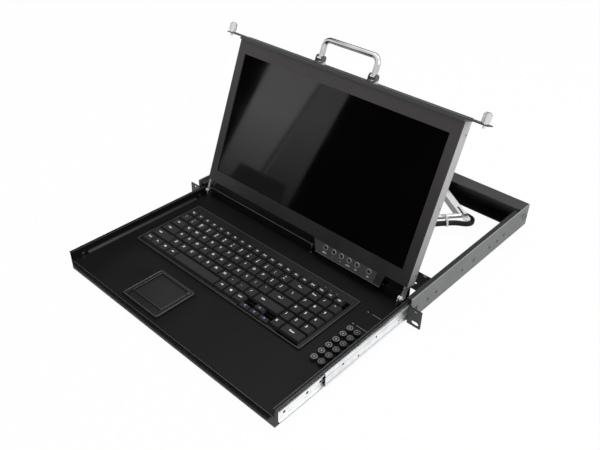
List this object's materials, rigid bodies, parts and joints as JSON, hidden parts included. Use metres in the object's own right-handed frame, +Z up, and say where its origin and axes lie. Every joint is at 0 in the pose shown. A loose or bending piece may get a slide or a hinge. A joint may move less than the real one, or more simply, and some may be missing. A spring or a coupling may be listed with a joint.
{
  "type": "rackmount lcd console drawer",
  "caption": "Sliding keyboard drawer for a one-unit rack space, with a fold-down flat screen, touchpad, push buttons, bail handle and a folding cable arm behind.",
  "frame": {"origin": "midway between the two rack-screw slots, on the front face of the rack ears", "axes": "+X across the rack to the right, +Y into the rack, +Z up"},
  "size_m": [0.4826, 0.5898, 0.309],
  "materials": {
    "frame_paint": "textured grey paint",
    "ear_paint": "black paint",
    "slide_zinc": "zinc plate",
    "screw_steel": "plated steel",
    "zinc_sheet": "galvanised",
    "tray_paint": "dark powder coat",
    "key_frame_plastic": "moulded plastic",
    "touchpad_plastic": "matt plastic",
    "board_green": "solder mask",
    "lamp_plastic": "clear lens",
    "port_plastic": "moulded plastic",
    "button_plastic": "moulded plastic",
    "lcd_paint": "dark powder coat",
    "panel_paint": "dark powder coat",
    "screen": "LCD behind a polarising film",
    "handle_chrome": "polished plate",
    "cable_rubber": "cable sleeve",
    "tie_plastic": "nylon",
    "key_plastic": "moulded plastic"
  },
  "bodies": {
    "frame": {"side_plate_left": "frame_paint", "side_plate_right": "frame_paint", "rack_ear_left": "ear_paint", "rack_ear_right": "ear_paint", "rear_channel": "frame_paint", "slide_outer_left": "slide_zinc", "slide_outer_right": "slide_zinc", "frame_screws": "screw_steel", "arm_bracket_rear": "zinc_sheet"},
    "slide_middle_left": {"slide_middle_left": "slide_zinc"},
    "slide_middle_right": {"slide_middle_right": "slide_zinc"},
    "tray": {"tray_pan": "tray_paint", "deck_plate": "tray_paint", "keyboard_frame": "key_frame_plastic", "keyboard_base": "key_frame_plastic", "touchpad_frame": "key_frame_plastic", "touchpad_surface": "touchpad_plastic", "hinge_housing": "tray_paint", "rear_cover": "tray_paint", "slide_inner_left": "slide_zinc", "slide_inner_right": "slide_zinc", "hinge_brackets": "screw_steel", "tray_screws": "screw_steel", "main_board": "board_green", "indicator_leds": "lamp_plastic", "rear_ports": "port_plastic"},
    "keys_functions": {"key_row_functions": "key_plastic"},
    "keys_numbers": {"key_row_numbers": "key_plastic"},
    "keys_upper_letters": {"key_row_upper_letters": "key_plastic"},
    "keys_middle_letters": {"key_row_middle_letters": "key_plastic"},
    "keys_lower_letters": {"key_row_lower_letters": "key_plastic"},
    "keys_space": {"key_row_space": "key_plastic"},
    "touchpad_button_left": {"touchpad_button_left": "touchpad_plastic"},
    "touchpad_button_right": {"touchpad_button_right": "touchpad_plastic"},
    "port_buttons_inner": {"port_buttons_inner": "button_plastic"},
    "port_buttons_outer": {"port_buttons_outer": "button_plastic"},
    "lcd": {"lcd_back_cover": "lcd_paint", "lcd_bezel": "lcd_paint", "lcd_panel": "screen", "front_panel": "panel_paint", "lcd_hinge_arms": "screw_steel", "handle_brackets": "handle_chrome", "lcd_screws": "screw_steel"},
    "handle": {"handle": "handle_chrome"},
    "thumbscrew_left": {"thumbscrew_left": "handle_chrome"},
    "thumbscrew_right": {"thumbscrew_right": "handle_chrome"},
    "arm_rear": {"arm_link_rear": "zinc_sheet", "arm_elbow_pin": "screw_steel", "cable_rear": "cable_rubber", "cable_elbow": "cable_rubber", "zip_tie_rear": "tie_plastic"},
    "arm_front": {"arm_link_front": "zinc_sheet", "cable_front": "cable_rubber", "zip_tie_front": "tie_plastic"},
    "osd_button_1": {"osd_button_1": "button_plastic"},
    "osd_button_2": {"osd_button_2": "button_plastic"},
    "osd_button_3": {"osd_button_3": "button_plastic"},
    "osd_button_4": {"osd_button_4": "button_plastic"},
    "osd_button_5": {"osd_button_5": "button_plastic"},
    "osd_button_6": {"osd_button_6": "button_plastic"}
  },
  "joints": [
    {"name": "drawer_slide", "type": "slide", "parent": "frame", "child": "tray", "axis": [0, 1, 0], "range_m": [0, 0.254]},
    {"name": "slide_left_middle", "type": "slide", "parent": "frame", "child": "slide_middle_left", "axis": [0, 1, 0], "range_m": [0, 0.178]},
    {"name": "slide_right_middle", "type": "slide", "parent": "frame", "child": "slide_middle_right", "axis": [0, 1, 0], "range_m": [0, 0.178]},
    {"name": "lcd_tilt", "type": "hinge", "parent": "tray", "child": "lcd", "pos_m": [0, 0.00684, 0.02158], "axis": [1, 0, 0], "range_deg": [-10, 111.03]},
    {"name": "handle_fold", "type": "hinge", "parent": "lcd", "child": "handle", "pos_m": [0, 0.10874, 0.27267], "axis": [1, 0, 0], "range_deg": [0, 90]},
    {"name": "thumbscrew_left_turn", "type": "hinge", "parent": "lcd", "child": "thumbscrew_left", "pos_m": [-0.2315, 0.09904, 0.26837], "axis": [0, 0.3589, 0.9334], "continuous": true},
    {"name": "thumbscrew_right_turn", "type": "hinge", "parent": "lcd", "child": "thumbscrew_right", "pos_m": [0.2315, 0.09904, 0.26837], "axis": [0, 0.3589, 0.9334], "continuous": true},
    {"name": "press_keys_functions", "type": "slide", "parent": "tray", "child": "keys_functions", "axis": [0, 0, -1], "range_m": [0, 0.002], "stiffness_N_per_m": 300, "springref_m": -0.0015},
    {"name": "press_keys_numbers", "type": "slide", "parent": "tray", "child": "keys_numbers", "axis": [0, 0, -1], "range_m": [0, 0.002], "stiffness_N_per_m": 300, "springref_m": -0.0015},
    {"name": "press_keys_upper_letters", "type": "slide", "parent": "tray", "child": "keys_upper_letters", "axis": [0, 0, -1], "range_m": [0, 0.002], "stiffness_N_per_m": 300, "springref_m": -0.0015},
    {"name": "press_keys_middle_letters", "type": "slide", "parent": "tray", "child": "keys_middle_letters", "axis": [0, 0, -1], "range_m": [0, 0.002], "stiffness_N_per_m": 300, "springref_m": -0.0015},
    {"name": "press_keys_lower_letters", "type": "slide", "parent": "tray", "child": "keys_lower_letters", "axis": [0, 0, -1], "range_m": [0, 0.002], "stiffness_N_per_m": 300, "springref_m": -0.0015},
    {"name": "press_keys_space", "type": "slide", "parent": "tray", "child": "keys_space", "axis": [0, 0, -1], "range_m": [0, 0.002], "stiffness_N_per_m": 300, "springref_m": -0.0015},
    {"name": "press_touchpad_left", "type": "slide", "parent": "tray", "child": "touchpad_button_left", "axis": [0, 0, -1], "range_m": [0, 0.0008], "stiffness_N_per_m": 300, "springref_m": -0.0005},
    {"name": "press_touchpad_right", "type": "slide", "parent": "tray", "child": "touchpad_button_right", "axis": [0, 0, -1], "range_m": [0, 0.0008], "stiffness_N_per_m": 300, "springref_m": -0.0005},
    {"name": "press_port_inner", "type": "slide", "parent": "tray", "child": "port_buttons_inner", "axis": [0, 0, -1], "range_m": [0, 0.001], "stiffness_N_per_m": 300, "springref_m": -0.0008},
    {"name": "press_port_outer", "type": "slide", "parent": "tray", "child": "port_buttons_outer", "axis": [0, 0, -1], "range_m": [0, 0.001], "stiffness_N_per_m": 300, "springref_m": -0.0008},
    {"name": "press_osd_1", "type": "slide", "parent": "lcd", "child": "osd_button_1", "axis": [0, 0.9334, -0.3589], "range_m": [0, 0.0008], "stiffness_N_per_m": 200, "springref_m": -0.0005},
    {"name": "press_osd_2", "type": "slide", "parent": "lcd", "child": "osd_button_2", "axis": [0, 0.9334, -0.3589], "range_m": [0, 0.0008], "stiffness_N_per_m": 200, "springref_m": -0.0005},
    {"name": "press_osd_3", "type": "slide", "parent": "lcd", "child": "osd_button_3", "axis": [0, 0.9334, -0.3589], "range_m": [0, 0.0008], "stiffness_N_per_m": 200, "springref_m": -0.0005},
    {"name": "press_osd_4", "type": "slide", "parent": "lcd", "child": "osd_button_4", "axis": [0, 0.9334, -0.3589], "range_m": [0, 0.0008], "stiffness_N_per_m": 200, "springref_m": -0.0005},
    {"name": "press_osd_5", "type": "slide", "parent": "lcd", "child": "osd_button_5", "axis": [0, 0.9334, -0.3589], "range_m": [0, 0.0008], "stiffness_N_per_m": 200, "springref_m": -0.0005},
    {"name": "press_osd_6", "type": "slide", "parent": "lcd", "child": "osd_button_6", "axis": [0, 0.9334, -0.3589], "range_m": [0, 0.0008], "stiffness_N_per_m": 200, "springref_m": -0.0005},
    {"name": "arm_rear_swing", "type": "hinge", "parent": "frame", "child": "arm_rear", "pos_m": [0.0535, 0.322, 0.00387], "axis": [0, 0, 1], "range_deg": [0, 32.2]},
    {"name": "arm_elbow_fold", "type": "hinge", "parent": "arm_rear", "child": "arm_front", "pos_m": [0.15254, 0.25495, 0.01588], "axis": [0, 0, 1], "range_deg": [-80.6, 0], "deforming": ["cable_elbow"]}
  ],
  "couplings": [
    {"joint": "slide_left_middle", "follows": "drawer_slide", "ratio": 0.7},
    {"joint": "slide_right_middle", "follows": "drawer_slide", "ratio": 0.7},
    {"joint": "arm_rear_swing", "follows": "drawer_slide", "rad_per_m": 2.2057},
    {"joint": "arm_elbow_fold", "follows": "drawer_slide", "rad_per_m": -5.5246}
  ]
}
